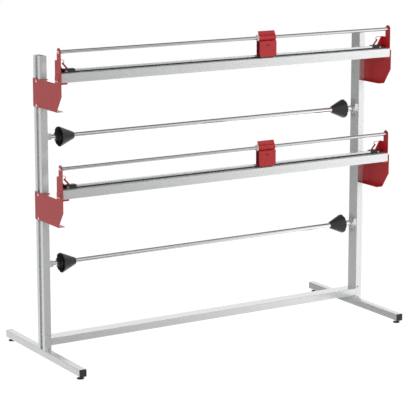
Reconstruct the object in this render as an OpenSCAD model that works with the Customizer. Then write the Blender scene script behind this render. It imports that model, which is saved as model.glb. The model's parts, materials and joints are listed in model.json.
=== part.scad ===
// Roll cutting stand: two slotted posts on T-feet, tied by a crossbar near the floor.
// They carry two knife rails, one above the other, and two lift-out roll axles with cones.
// Millimetres. +X runs along the rails, the front is -Y, +Z is up and the floor is z = 0.

/* [Stand] */
// Width over the outer faces of the posts
stand_w = 2110; // [1500:10:2600]
// Height of the post tops above the floor
stand_h = 1655; // [1500:5:1900]

/* [Posts] */
// Width of a post along the rails
post_w = 40; // [36:1:50]
// Depth of a post from front to back
post_d = 80; // [70:1:110]
// Wall thickness of the post profile
post_wall = 3; // [2:0.5:3.5]
// Corner radius of the post profile
post_r = 1.5; // [0.5:0.5:2.5]
// Width of the slot's mouth in the outer face
slot_mouth = 26; // [18:1:30]
// Width of the slot behind its lips
slot_inner = 38; // [34:1:48]
// Depth of the slot, from the outer face to its floor
slot_depth = 14; // [13:0.5:15]

/* [Feet] */
// Length of a foot with its end caps
foot_l = 890; // [600:10:1100]
// Side of the square foot tube
foot_s = 40; // [36:1:50]
// Wall thickness of the foot tube
foot_wall = 2.5; // [2:0.5:4]
// Corner radius of the foot tube and its end caps
foot_r = 3; // [1:0.5:4]
// Clear height below the foot tube
foot_gap = 16; // [15:1:24]
// Height of the spigot that stands on the foot inside the post
spigot_h = 94; // [86:1:130]
// Wall thickness of the spigot
spigot_wall = 3; // [2:0.5:4]
// Thickness of an end cap's face
cap_t = 4; // [3:0.5:6]
// Depth of an end cap's plug inside the tube
cap_plug = 14; // [8:1:18]
// Diameter of a levelling pad
pad_d = 40; // [30:1:50]
// Diameter of a levelling stem
stem_d = 10; // [8:1:12]
// Distance of a levelling stem from the end of the foot
stem_inset = 30; // [28:1:60]

/* [Crossbar] */
// Height of the crossbar
bar_h = 40; // [34:1:50]
// Gap between the feet and the crossbar
bar_gap = 26; // [22:1:36]
// Wall thickness of the crossbar
bar_wall = 2.5; // [2:0.5:4]
// Corner radius of the crossbar
bar_r = 1.5; // [0.5:0.5:2]
// Height between the crossbar's two screw ports
port_gap = 18; // [16:1:20]

/* [Cutters] */
// Drop from the post tops to the upper rail's top face
cut_drop = 65; // [40:1:120]
// Height between the two rails
unit_gap = 610; // [450:5:700]
// Reach of a bracket in front of the posts
reach = 246; // [200:2:300]
// Sheet thickness of brackets and towers
sheet = 3; // [2:0.5:4]
// Drop from a rail's top face to its bracket's top edge
bracket_drop = 56; // [54:1:70]
// Height of a bracket plate
bracket_h = 152; // [130:2:200]
// Width of a bracket's flanges
flange_w = 37; // [30:1:39]
// Depth of a rail from front to back
rail_d = 67.5; // [60:0.5:80]
// Height of a rail
rail_h = 48; // [40:1:52]
// Wall thickness of a rail
rail_wall = 2.5; // [2:0.5:4]
// Width of the knife groove
groove_w = 4; // [3:0.5:6]
// Depth of the knife groove
groove_deep = 9; // [8:0.5:12]
// Thickness of the rail's web, which holds the knife groove
rail_web = 8; // [7:0.5:12]
// Diameter of a guide rod
rod_d = 20; // [16:1:24]
// Height of a guide rod above its rail's top face
rod_rise = 110; // [100:1:130]
// Radius of a tower's round head
head_r = 21; // [18:0.5:25]
// Height of a tower's shoulder above the rail
step_rise = 64; // [60:1:80]

/* [Hold-down bars] */
// Depth of a hold-down bar
hold_d = 24; // [18:1:26]
// Height of a hold-down bar
hold_h = 9.5; // [8:0.5:10]
// Radius of a hold-down bar's upper edges
hold_r = 1; // [0.5:0.5:1.5]
// Height of the rubber lip under a hold-down bar
lip_h = 5.5; // [4:0.5:6]
// Thickness of the rubber lip
lip_d = 6; // [4:0.5:8]
// Length of an end block
block_l = 63; // [50:1:75]
// Distance of an end block's inner end from the tower
block_in = 97; // [92:1:110]
// Lift of a hold-down bar
hold_lift = 5; // [3:0.5:6]

/* [Knife carriages] */
// Width of a carriage
carriage_w = 108; // [80:1:130]
// Place of the parked carriages along the rails
carriage_x = 216; // [-600:2:600]
// Sheet thickness of a carriage
carriage_t = 2.5; // [1.5:0.5:3]
// Height of the back sheet's lower edge above the rail
back_up = 10; // [8:1:40]
// Height of the grip lip above the guide rod's axis
grip_h = 37; // [30:1:45]
// Thickness of the plastic blade holder
holder_t = 14; // [10:1:15]
// Blade thickness
blade_t = 0.6; // [0.4:0.1:1]
// Depth of the blade in the groove
blade_deep = 7; // [4:0.5:7]

/* [Roll axles] */
// Height of the upper axle above the floor
upper_axle_z = 1214; // [1100:2:1290]
// Height of the lower axle above the floor
lower_axle_z = 523; // [300:2:650]
// Diameter of an axle
axle_d = 30; // [26:1:32]
// Outer diameter of an axle's end bush
bush_d = 36; // [35:1:38]
// Length of an end bush
bush_l = 15; // [12:1:40]
// Length of a cradle from the post
cradle_l = 22; // [22:1:50]
// Large diameter of a cone
cone_d = 108; // [80:2:130]
// Small diameter of a cone
cone_tip_d = 38; // [37:1:44]
// Length of a cone
cone_l = 86; // [70:1:110]
// Distance of a cone's large end from the post
cone_off = 83; // [75:1:160]

/* [Hidden] */
$fn = 48;

// Names for the sides, the two cutters and the two ends of a foot
left = -1;
right = 1;
upper = 0;
lower = 1;
front = -1;
rear = 1;

// Clearances, and the overlap of forms that make one piece
cut = 1;
seat_gap = 0.5;
slide_gap = 0.3;
run_gap = 0.1;
thread_gap = 0.1;
tip_gap = 1;
overlap = 0.1;

// Fasteners: a button head's straight edge, crown and socket are shares of its size
m6 = 6;
m6_head_d = 11;
m6_head_h = 3.5;
m8 = 8;
m8_head_d = 15;
m8_head_h = 4.5;
head_edge = 0.4;
head_crown = 0.33;
socket_share = 0.62;
bolt_head_d = 13;
bolt_head_h = 5;
thread_out = 6;
nut_d = 11.5;
nut_h = 5;
nut_show = 2;
slot_nut_l = 18;
slot_nut_gap = 1;

// Places on the frame
half_w = stand_w / 2;
post_in = half_w - post_w;
post_x = half_w - post_w / 2;
post_front = -post_d / 2;
foot_top = foot_gap + foot_s;
bar_z = foot_top + bar_gap;
bar_top = bar_z + bar_h;
lip_t = post_wall;
chamber_out = half_w - slot_depth - post_wall;
chamber_in = post_in + post_wall;
chamber_x = (chamber_out + chamber_in) / 2;
chamber_d = post_d - 2 * post_wall;
spigot_w = chamber_out - chamber_in - 2 * slide_gap;
spigot_d = chamber_d - 2 * slide_gap;
post_screw_up = 11;
post_screw_over = 9;
post_screw_l = 12;
post_screw_z = [foot_top + post_screw_up, bar_top + post_screw_over];
port_wall = 3;
port_z = [bar_z + bar_h / 2 - port_gap / 2, bar_z + bar_h / 2 + port_gap / 2];
bolt_reach = 25;
stem_y = foot_l / 2 - stem_inset;
boss_h = 13;
boss_wall = 5;
cap_web = 3;
cap_dish = 1;

// Heights of a levelling foot's steps
pad_edge = 1;
pad_bevel = 1.5;
pad_rim = 4;
pad_h = 9;
hex_h = 12;
hex_d = 17;
stem_up = 30;

// Places on a cutter, heights counted from the rail's top face
cut_z = [stand_h - cut_drop, stand_h - cut_drop - unit_gap];
front_y = post_front - reach;
rail_in = 4;
rail_front = front_y + rail_in;
rail_chamfer = 2;
rail_rear = rail_front + rail_d;
flange_front = rail_rear + seat_gap;
tower_rear = flange_front + sheet;
rod_in = 28;
rod_y = front_y + rod_in;
rod_screw_l = 22;
tower_in = half_w - sheet;
bracket_low = -bracket_drop - bracket_h;
screw_inset = 12;
bracket_screw_z = [-bracket_drop - screw_inset, bracket_low + screw_inset];
bracket_over = 2;
chamfer_in = 60;
chamfer_up = 88;
ear_w = 70;
ear_drop = 8;
ear_corner = 12;
top_flange_l = 60;
top_flange_flat = 22;
post_gap = post_front - seat_gap;
ear_screw_in = 40;
ear_screw_gap = 20;
ear_screw_up = 5;
tower_screw_y = [front_y + ear_screw_in, front_y + ear_screw_in + ear_screw_gap];
tower_screw_z = -rail_h + ear_screw_up;
tab_w = 34;
tab_d = 46;
tab_lip = 9;
tab_screw_in = 15;
tab_screw_back = 30;
tab_screw_x = tower_in - tab_screw_in;
tab_screw_y = rail_front + tab_screw_back;

// Places on a hold-down bar
lip_low = slide_gap;
hold_low = lip_low + lip_h;
hold_top = hold_low + hold_h;
hold_back = 12;
hold_front = rod_y + hold_back;
hold_side_wall = 4;
hold_top_wall = 2.5;
lip_front_in = 1;
lip_rear_in = 2;
block_out = 2;
block_over = 3;
block_chamfer = 5;
block_front = hold_front - block_out;
block_rear = flange_front - slide_gap;
block_top = hold_top + block_over;
block_socket = 25;
block_x = tower_in - block_in;
hold_screw_in = 11;
hold_screw_up = 6.5;
hold_screw_x = block_x + block_l - hold_screw_in;
hold_screw_z = lip_low + hold_screw_up;

// Places on a carriage, counted from the guide rod's axis
wrap_gap = 8.5;
wrap_r = rod_d / 2 + wrap_gap;
wrap_out = wrap_r + carriage_t;
wrap_low = 230;
wrap_high = 115;
grip_turn = 6;
grip_lean = 1;
web_drop = 4;
web_top = -rod_d / 2 - web_drop;
back_gap = 1;
back_y = hold_back - back_gap;
back_low = -rod_rise + back_up;
plate_out = 4;
plate_up = 6;
plate_corner = 12;
fold_d = 26;
plate_y = -wrap_out - plate_out;
plate_low = -rod_rise + plate_up;
plate_top = web_top - carriage_t;
holder_low = -rod_rise + slide_gap;
holder_in = 13;
holder_edge = 4;
holder_chamfer = 8;
holder_shoulder = 24;
holder_front = plate_y + carriage_t;
blade_y = holder_front + holder_t;
blade_tip = 12;
blade_root = 26;
blade_over = 12;
carriage_screw_up = 70;
carriage_screw_z = -rod_rise + carriage_screw_up;
clamp_nut_d = 18;
clamp_nut_h = 4;
bush_over = 3;

// The knife groove lies under the blade, and the slot in a tower's foot shows the web's end
groove_y = rod_y + blade_y + blade_t / 2;
rail_slot_w = 8;
rail_slot_l = 25;
rail_slot_drop = 26;

// Places on a tower's rear flange, counted inward from the tower's plate
hook_r = 11.25;
hook_t = 2.5;
hook_u = 40;
strip_w = 9;
strip_in = 72;
strip_sink = 6;
strip_drop = 17;
band_u = 80;
band_drop = 1;
gusset_top = 12;
gusset_low = 42;
gusset_rise = 14;

// Places on an axle
axle_z = [upper_axle_z, lower_axle_z];
axle_gap = 7;
axle_end = post_in - axle_gap;
cradle_base = 4;
cradle_half = 24;
cradle_drop = 36;
cradle_wall = 5;
cradle_floor = 5;
cradle_chamfer = 6;
horn_w = 18;
horn_rise = 27;
horn_drop = 8;
lead_in = 5;
lead_h = 10;
cradle_screw_y = 14;
cradle_screw_z = -30;
trough_r = bush_d / 2 + slide_gap;

// Places on a cone
cone_x = post_in - cone_off;
hub_wall = 4;
hub_r = axle_d / 2 + hub_wall;
hub_recess = 4;
cone_wall = 4;
cone_rim = 4;
rib_t = 3;
rib_in = 12;
scallop_r = 11;
scallop_rise = 10;
scallop_back = 8;
cone_screw_in = 10;
neck_h = 2;
knob_h = 10;
knob_d = 14;

alu = [0.78, 0.79, 0.79];
steel = [0.82, 0.82, 0.83];
red = [0.66, 0.24, 0.26];
black = [0.1, 0.1, 0.1];
nylon = [0.9, 0.9, 0.88];

// Helpers: every side piece is drawn on the right and mirrored for the left
module on_side(side) {
    if (side == left) mirror([1, 0, 0]) children();
    else children();
}

// Draws an outline and its mirror image
module both_ways(axis) {
    children();
    mirror(axis) children();
}

// Carries a (y, z) outline along X
module along_x(x0, x1) {
    translate([x0, 0, 0]) rotate([90, 0, 90]) linear_extrude(x1 - x0) children();
}

// Carries an (x, z) outline along Y
module along_y(y0, y1) {
    translate([0, y1, 0]) rotate([90, 0, 0]) linear_extrude(y1 - y0) children();
}

module box(low, high) {
    translate(low) cube(high - low);
}

// A rod along X between two places
module rod_x(x0, x1, r) {
    translate([x0, 0, 0]) rotate([0, 90, 0]) cylinder(h = x1 - x0, r = r);
}

// A rod along Y between two places
module rod_y_dir(y0, y1, r) {
    translate([0, y1, 0]) rotate([90, 0, 0]) cylinder(h = y1 - y0, r = r);
}

// An upright slot outline, counted from its centre
module slot_outline(w, l) {
    translate([-w / 2, -l / 2 + w / 2]) square([w, l - w]);
    for (end = [-1, 1]) translate([0, end * (l - w) / 2]) circle(d = w);
}

// A rectangle with round corners
module rounded(low, high, r) {
    translate([low[0] + r, low[1]]) square([high[0] - low[0] - 2 * r, high[1] - low[1]]);
    translate([low[0], low[1] + r]) square([high[0] - low[0], high[1] - low[1] - 2 * r]);
    for (u = [low[0] + r, high[0] - r], v = [low[1] + r, high[1] - r]) translate([u, v]) circle(r = r);
}

// What a bend's rounding takes off a sheet's square corner, counted from the bend's inner corner
module bend_off(t) {
    difference() {
        square([t + cut, t + cut]);
        circle(r = t);
    }
}

// Button-head screw along Z: the head stands on z = 0 and the shank goes down
module button_screw(d, head_d, head_h, length) {
    difference() {
        union() {
            rotate_extrude() polygon([
                [0, 0], [head_d / 2, 0], [head_d / 2, head_h * head_edge],
                [head_d * head_crown, head_h], [0, head_h]
            ]);
            translate([0, 0, -length]) cylinder(h = length + overlap, d = d);
        }
        translate([0, 0, head_h * head_edge]) cylinder(h = head_h, d = d * socket_share, $fn = 6);
    }
}

// Feet
module foot(side) {
    color(alu) on_side(side) difference() {
        union() {
            tube_l = foot_l / 2 - cap_t;
            along_y(-tube_l, tube_l) difference() {
                rounded([post_x - foot_s / 2, foot_gap], [post_x + foot_s / 2, foot_top], foot_r);
                translate([post_x - foot_s / 2 + foot_wall, foot_gap + foot_wall])
                    square([foot_s - 2 * foot_wall, foot_s - 2 * foot_wall]);
            }
            for (end = [front, rear]) translate([post_x, end * stem_y, foot_gap])
                cylinder(h = foot_wall + boss_h, d = stem_d + 2 * boss_wall);
            translate([0, 0, foot_top - foot_wall / 2]) linear_extrude(spigot_h + foot_wall / 2)
                difference() {
                    translate([chamber_x - spigot_w / 2, -spigot_d / 2]) square([spigot_w, spigot_d]);
                    translate([chamber_x - spigot_w / 2 + spigot_wall, -spigot_d / 2 + spigot_wall])
                        square([spigot_w - 2 * spigot_wall, spigot_d - 2 * spigot_wall]);
                }
        }
        for (end = [front, rear]) translate([post_x, end * stem_y, foot_gap - cut])
            cylinder(h = foot_wall + boss_h + 2 * cut, d = stem_d + 2 * slide_gap);
        for (z = post_screw_z) translate([chamber_x, 0, z])
            rod_y_dir(-spigot_d / 2 - cut, 0, m8 / 2 + thread_gap);
        for (z = port_z) translate([0, 0, z]) rod_x(chamber_in, chamber_out, m8 / 2 + slide_gap);
    }
}

module foot_end_caps() {
    plug = foot_s - 2 * foot_wall - 2 * slide_gap;
    hollow = plug - 2 * cap_web;
    color(black) for (side = [left, right], end = [front, rear]) on_side(side)
        translate([post_x, end * foot_l / 2, foot_gap + foot_s / 2]) rotate([end * 90, 0, 0]) difference() {
            union() {
                linear_extrude(cap_t) rounded([-foot_s / 2, -foot_s / 2], [foot_s / 2, foot_s / 2], foot_r);
                translate([-plug / 2, -plug / 2, 0]) cube([plug, plug, cap_t + cap_plug]);
            }
            translate([-hollow / 2, -hollow / 2, cap_t]) cube([hollow, hollow, cap_plug + cut]);
            translate([-hollow / 2, -hollow / 2, -cut]) cube([hollow, hollow, cut + cap_dish]);
        }
}

module levelling_foot(side, end) {
    color(black) on_side(side) translate([post_x, end * stem_y, 0]) {
        rotate_extrude() polygon([
            [0, 0], [pad_d / 2 - pad_edge, 0], [pad_d / 2, pad_bevel], [pad_d / 2, pad_rim],
            [pad_d / 4, pad_h], [0, pad_h]
        ]);
        cylinder(h = hex_h, d = hex_d, $fn = 6);
        cylinder(h = foot_gap + foot_wall + stem_up, d = stem_d);
    }
}

// Posts and crossbar
module post_outline() {
    difference() {
        rounded([post_in, post_front], [half_w, -post_front], post_r);
        translate([half_w - slot_depth, -slot_mouth / 2]) square([slot_depth + cut, slot_mouth]);
        translate([half_w - slot_depth, -slot_inner / 2]) square([slot_depth - lip_t, slot_inner]);
        translate([chamber_in, -chamber_d / 2]) square([chamber_out - chamber_in, chamber_d]);
        both_ways([0, 1]) translate([chamber_in, slot_inner / 2 + post_wall])
            square([half_w - post_wall - chamber_in, chamber_d / 2 - slot_inner / 2 - post_wall]);
    }
}

module post(side) {
    color(alu) on_side(side) difference() {
        translate([0, 0, foot_top]) linear_extrude(stand_h - foot_top) post_outline();
        for (z = post_screw_z) translate([chamber_x, 0, z])
            rod_y_dir(post_front - cut, post_front + post_wall + cut, m8 / 2 + slide_gap);
        for (z = port_z) translate([0, 0, z])
            rod_x(post_in - cut, half_w - slot_depth + cut, m8 / 2 + slide_gap);
        for (unit = [upper, lower], y = [-cradle_screw_y, cradle_screw_y])
            translate([0, y, axle_z[unit] + cradle_screw_z])
                rod_x(post_in - cut, chamber_in + cut, m6 / 2 + thread_gap);
    }
}

module crossbar() {
    color(alu) along_x(-post_in, post_in) difference() {
        rounded([post_front, bar_z], [-post_front, bar_top], bar_r);
        both_ways([1, 0]) translate([bar_wall / 2, bar_z + bar_wall])
            square([post_d / 2 - bar_wall - bar_wall / 2, bar_h - 2 * bar_wall]);
        for (z = port_z) translate([0, z]) circle(d = m8 + 2 * thread_gap);
    }
    color(alu) along_x(-post_in, post_in) difference() {
        for (z = port_z) translate([0, z]) circle(d = m8 + 2 * port_wall);
        for (z = port_z) translate([0, z]) circle(d = m8 + 2 * thread_gap);
    }
}

module crossbar_bolts() {
    color(steel) for (side = [left, right], z = port_z) on_side(side)
        translate([half_w - slot_depth, 0, z]) {
            rod_x(0, bolt_head_h, bolt_head_d / 2);
            rod_x(post_in - bolt_reach - (half_w - slot_depth), overlap, m8 / 2);
        }
}

// Fasteners
module m8_screws() {
    color(steel) for (side = [left, right]) on_side(side) {
        for (z = post_screw_z) translate([chamber_x, post_front, z]) rotate([90, 0, 0])
            button_screw(m8, m8_head_d, m8_head_h, post_screw_l);
        for (unit = [upper, lower]) translate([0, 0, cut_z[unit]]) {
            for (z = bracket_screw_z) translate([half_w + sheet, 0, z]) rotate([0, 90, 0])
                button_screw(m8, m8_head_d, m8_head_h, sheet + slot_depth - tip_gap);
            translate([half_w, rod_y, rod_rise]) rotate([0, 90, 0])
                button_screw(m8, m8_head_d, m8_head_h, sheet + rod_screw_l);
        }
    }
}

module m6_screws() {
    color(steel) for (side = [left, right], unit = [upper, lower]) on_side(side) {
        translate([0, 0, cut_z[unit]]) {
            for (y = tower_screw_y) translate([half_w + sheet, y, tower_screw_z]) rotate([0, 90, 0])
                button_screw(m6, m6_head_d, m6_head_h, 2 * sheet);
            translate([tab_screw_x, tab_screw_y, -rail_h - sheet]) rotate([180, 0, 0])
                button_screw(m6, m6_head_d, m6_head_h, sheet + rail_wall + thread_out);
        }
        for (y = [-cradle_screw_y, cradle_screw_y])
            translate([post_in - cradle_base, y, axle_z[unit] + cradle_screw_z]) rotate([0, -90, 0])
                button_screw(m6, m6_head_d, m6_head_h, cradle_base + post_wall + thread_out);
    }
}

module slot_nuts() {
    nut_in = half_w - slot_depth + 2 * slot_nut_gap;
    nut_half = slot_inner / 2 - slot_nut_gap;
    color(steel) for (side = [left, right], unit = [upper, lower], z = bracket_screw_z) on_side(side)
        translate([0, 0, cut_z[unit] + z]) difference() {
            box([nut_in, -nut_half, -slot_nut_l / 2], [half_w - lip_t, nut_half, slot_nut_l / 2]);
            rod_x(half_w - slot_depth, half_w, m8 / 2 + thread_gap);
        }
}

// Brackets: a plate on the post's outer face with flanges turned in
module bracket_outline() {
    polygon([
        [post_d / 2 + bracket_over, bracket_low], [front_y + chamfer_in, bracket_low],
        [front_y, bracket_low + chamfer_up], [front_y, -ear_drop],
        [front_y + ear_w - ear_corner, -ear_drop], [front_y + ear_w, -ear_drop - ear_corner],
        [front_y + ear_w, -bracket_drop], [post_d / 2 + bracket_over, -bracket_drop]
    ]);
}

module tower_screw_holes() {
    for (y = tower_screw_y) translate([y, tower_screw_z]) circle(d = m6 + 2 * thread_gap);
    translate([groove_y, -rail_slot_drop]) slot_outline(rail_slot_w, rail_slot_l);
}

module bracket(side, unit) {
    color(red) on_side(side) translate([0, 0, cut_z[unit]]) difference() {
        union() {
            along_x(half_w, half_w + sheet) difference() {
                bracket_outline();
                for (z = bracket_screw_z) translate([0, z]) circle(d = m8 + 2 * slide_gap);
                tower_screw_holes();
            }
            box([half_w - flange_w, front_y + chamfer_in, bracket_low],
                [half_w + overlap, post_gap, bracket_low + sheet]);
            translate([0, 0, -bracket_drop - sheet]) linear_extrude(sheet) polygon([
                [half_w + overlap, post_gap], [half_w - flange_w, post_gap],
                [half_w - flange_w, post_gap - top_flange_flat], [half_w + overlap, post_gap - top_flange_l]
            ]);
        }
        translate([half_w, 0, bracket_low + sheet]) along_y(front_y + chamfer_in, post_gap)
            mirror([0, 1]) bend_off(sheet);
        translate([half_w, 0, -bracket_drop - sheet]) along_y(post_gap - top_flange_l, post_gap)
            bend_off(sheet);
    }
}

// Towers: an end plate with a round head for the guide rod, a lipped tab under the rail and a rear flange
module tower_outline() {
    difference() {
        union() {
            translate([rod_y - head_r, -rail_h - sheet])
                square([tower_rear - rod_y + head_r, rail_h + sheet + step_rise]);
            translate([rod_y - head_r, 0]) square([2 * head_r, rod_rise]);
            translate([rod_y, rod_rise]) circle(r = head_r);
        }
        tower_screw_holes();
        translate([rod_y, rod_rise]) circle(d = m8 + 2 * seat_gap);
        translate([rod_y, rod_rise - m8 / 2 - seat_gap]) square([head_r + cut, m8 + 2 * seat_gap]);
    }
}

// Rear flange outline: u counts inward from the tower plate
module rear_flange_outline() {
    band_top = block_top - band_drop;
    strip_foot = [strip_in, band_top - strip_sink];
    strip_top = [hook_u, step_rise - strip_drop];
    strip_dir = (strip_top - strip_foot) / norm(strip_top - strip_foot);
    strip_side = [strip_dir[1], -strip_dir[0]] * strip_w / 2;
    hook_z = step_rise - hook_r;
    difference() {
        union() {
            translate([-overlap, -rail_h]) square([band_u + overlap, rail_h + band_top]);
            polygon([
                [-overlap, 0], [gusset_low, 0], [gusset_low, gusset_rise], [gusset_top, step_rise],
                [-overlap, step_rise]
            ]);
            polygon([
                strip_foot + strip_side, strip_top + strip_side,
                strip_top - strip_side, strip_foot - strip_side
            ]);
            translate([0, step_rise - hook_t]) square([hook_u, hook_t]);
            intersection() {
                translate([hook_u, hook_z]) difference() {
                    circle(r = hook_r);
                    circle(r = hook_r - hook_t);
                }
                translate([hook_u, hook_z - hook_r]) square([hook_r, 2 * hook_r]);
            }
        }
        translate([tower_in - hold_screw_x, hold_screw_z + hold_lift / 2])
            slot_outline(m6 + 2 * slide_gap, hold_lift + m6 + 2 * slide_gap);
    }
}

module tower(side, unit) {
    color(red) on_side(side) translate([0, 0, cut_z[unit]]) difference() {
        union() {
            along_x(tower_in, half_w) tower_outline();
            translate([tower_in, 0, 0]) mirror([1, 0, 0]) along_y(flange_front, tower_rear)
                rear_flange_outline();
            box([tower_in - tab_w, rail_front, -rail_h - sheet],
                [tower_in + overlap, rail_front + tab_d, -rail_h]);
            box([tower_in - tab_w, rail_front, -rail_h - tab_lip], [tower_in, rail_front + sheet, -rail_h]);
        }
        translate([tab_screw_x, tab_screw_y, -rail_h - sheet - cut])
            cylinder(h = sheet + 2 * cut, d = m6 + 2 * thread_gap);
        translate([tower_in, flange_front, -rail_h - sheet - cut])
            linear_extrude(rail_h + sheet + step_rise + 2 * cut) bend_off(sheet);
        translate([tower_in, 0, -rail_h]) along_y(rail_front - cut, rail_front + tab_d)
            mirror([0, 1]) bend_off(sheet);
        along_x(tower_in - tab_w - cut, tower_in) translate([rail_front + sheet, -rail_h - sheet])
            mirror([1, 0]) bend_off(sheet);
    }
}

// Rails and guide rods
module rail_outline() {
    chamber_low = rail_front + rail_wall;
    chamber_high = rail_rear - rail_wall;
    chamber_h = rail_h - 2 * rail_wall;
    difference() {
        polygon([
            [rail_front, -rail_h], [rail_rear, -rail_h], [rail_rear, 0],
            [rail_front + rail_chamfer, 0], [rail_front, -rail_chamfer]
        ]);
        translate([chamber_low, -rail_h + rail_wall])
            square([groove_y - rail_web / 2 - chamber_low, chamber_h]);
        translate([groove_y + rail_web / 2, -rail_h + rail_wall])
            square([chamber_high - groove_y - rail_web / 2, chamber_h]);
        translate([groove_y - groove_w / 2, -groove_deep]) square([groove_w, groove_deep + cut]);
    }
}

module rail(unit) {
    color(alu) translate([0, 0, cut_z[unit]]) difference() {
        along_x(-tower_in, tower_in) rail_outline();
        for (side = [left, right]) translate([side * tab_screw_x, tab_screw_y, -rail_h - cut])
            cylinder(h = rail_wall + 2 * cut, d = m6 + 2 * thread_gap);
    }
}

module guide_rod(unit) {
    color(steel) translate([0, rod_y, cut_z[unit] + rod_rise]) difference() {
        rod_x(-tower_in, tower_in, rod_d / 2);
        for (side = [left, right]) on_side(side)
            rod_x(tower_in - rod_screw_l - 2 * tip_gap, tower_in + cut, m8 / 2 + thread_gap);
    }
}

// Hold-down bars
module hold_bar(unit) {
    color(alu) translate([0, 0, cut_z[unit]]) along_x(-block_x - block_socket, block_x + block_socket)
        difference() {
            union() {
                rounded([hold_front, hold_low], [hold_front + hold_d, hold_top], hold_r);
                translate([hold_front, hold_low]) square([hold_d, hold_h / 2]);
            }
            translate([hold_front + lip_d + hold_side_wall, hold_low - cut])
                square([hold_d - lip_d - 2 * hold_side_wall, hold_h - hold_top_wall + cut]);
        }
}

module hold_lip(unit) {
    color(black) translate([0, 0, cut_z[unit]]) along_x(-block_x, block_x) polygon([
        [hold_front, hold_low], [hold_front + lip_front_in, lip_low],
        [hold_front + lip_d - lip_rear_in, lip_low], [hold_front + lip_d, hold_low]
    ]);
}

module hold_blocks(unit) {
    color(black) for (side = [left, right]) on_side(side) translate([0, 0, cut_z[unit]]) difference() {
        along_x(block_x, block_x + block_l) polygon([
            [block_front, lip_low], [block_rear, lip_low], [block_rear, block_top],
            [block_front + block_chamfer, block_top], [block_front, block_top - block_chamfer]
        ]);
        along_x(block_x - cut, block_x + block_socket)
            translate([hold_front, hold_low]) square([hold_d, hold_h]);
        translate([hold_screw_x, 0, hold_screw_z])
            rod_y_dir(block_front - cut, block_rear + cut, m6 / 2 + thread_gap);
    }
}

module hold_screws(unit) {
    reach_l = tower_rear + slide_gap + nut_h + nut_show - block_front;
    color(steel) for (side = [left, right]) on_side(side)
        translate([hold_screw_x, 0, cut_z[unit] + hold_screw_z]) {
            translate([0, block_front, 0]) rotate([90, 0, 0])
                button_screw(m6, m6_head_d, m6_head_h, reach_l);
            translate([0, tower_rear + slide_gap, 0]) rotate([-90, 0, 0]) difference() {
                cylinder(h = nut_h, d = nut_d, $fn = 6);
                translate([0, 0, -cut]) cylinder(h = nut_h + 2 * cut, d = m6 + 2 * thread_gap);
            }
        }
}

// Knife carriages: a hooked back sheet, a front plate, a blade holder and a bush on the rod
module at_carriage(unit) {
    translate([carriage_x, rod_y, cut_z[unit] + rod_rise]) children();
}

module wrap_sector() {
    far = 2 * wrap_out;
    steps = 6;
    polygon(concat([[0, 0]], [
        for (i = [0:steps]) let (a = wrap_high + (wrap_low - wrap_high) * i / steps) far * [cos(a), sin(a)]
    ]));
}

module carriage_hook_outline() {
    grip_foot = (wrap_r + carriage_t / 2) * [cos(wrap_high + grip_turn), sin(wrap_high + grip_turn)];
    grip_top = [-grip_lean, grip_h];
    grip = grip_top - grip_foot;
    web_front = wrap_out * cos(wrap_low);
    intersection() {
        difference() {
            circle(r = wrap_out);
            circle(r = wrap_r);
        }
        wrap_sector();
    }
    translate(grip_foot) rotate(atan2(grip[1], grip[0])) translate([0, -carriage_t / 2])
        square([norm(grip), carriage_t]);
    difference() {
        union() {
            translate([web_front, web_top - carriage_t]) square([back_y - web_front, carriage_t]);
            translate([back_y - carriage_t, back_low]) square([carriage_t, web_top - back_low]);
        }
        translate([back_y - carriage_t, web_top - carriage_t]) bend_off(carriage_t);
    }
}

module carriage_hook(unit) {
    color(red) at_carriage(unit) along_x(-carriage_w / 2, carriage_w / 2) carriage_hook_outline();
}

module carriage_plate(unit) {
    half = carriage_w / 2;
    color(red) at_carriage(unit) difference() {
        union() {
            along_y(plate_y, plate_y + carriage_t) {
                rounded([-half, plate_low], [half, plate_top], plate_corner);
                translate([-half, plate_low + plate_corner])
                    square([carriage_w, plate_top - plate_low - plate_corner]);
            }
            box([-half, plate_y, plate_top - carriage_t], [half, plate_y + fold_d, plate_top]);
        }
        translate([0, 0, carriage_screw_z])
            rod_y_dir(plate_y - cut, plate_y + carriage_t + cut, m6 / 2 + thread_gap);
        along_x(-half - cut, half + cut) translate([plate_y + carriage_t, plate_top - carriage_t])
            mirror([1, 0]) bend_off(carriage_t);
    }
}

module carriage_holder(unit) {
    foot = carriage_w / 2 - holder_in;
    side = carriage_w / 2 - holder_edge;
    holder_top = plate_top - carriage_t;
    color(black) at_carriage(unit) difference() {
        along_y(holder_front, blade_y) polygon([
            [-foot + holder_chamfer, holder_low], [foot - holder_chamfer, holder_low],
            [foot, holder_low + holder_chamfer], [side, holder_low + holder_shoulder],
            [side, holder_top], [-side, holder_top],
            [-side, holder_low + holder_shoulder], [-foot, holder_low + holder_chamfer]
        ]);
        translate([0, 0, carriage_screw_z])
            rod_y_dir(holder_front - cut, blade_y + cut, m6 / 2 + thread_gap);
    }
}

module carriage_blade(unit) {
    color(steel) at_carriage(unit) along_y(blade_y, blade_y + blade_t) difference() {
        polygon([
            [-blade_tip, -rod_rise - blade_deep], [blade_tip, -rod_rise - blade_deep],
            [blade_root, carriage_screw_z + blade_over], [-blade_root, carriage_screw_z + blade_over]
        ]);
        translate([0, carriage_screw_z]) circle(d = m6 + 2 * thread_gap);
    }
}

module carriage_screw(unit) {
    nut_y = blade_y + blade_t;
    color(red) at_carriage(unit) translate([0, 0, carriage_screw_z]) {
        translate([0, plate_y, 0]) rotate([90, 0, 0])
            button_screw(m6, m6_head_d, m6_head_h, nut_y + clamp_nut_h + tip_gap - plate_y);
        translate([0, nut_y, 0]) rotate([-90, 0, 0]) difference() {
            cylinder(h = clamp_nut_h, d = clamp_nut_d);
            translate([0, 0, -cut]) cylinder(h = clamp_nut_h + 2 * cut, d = m6 + 2 * thread_gap);
        }
    }
}

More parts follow.
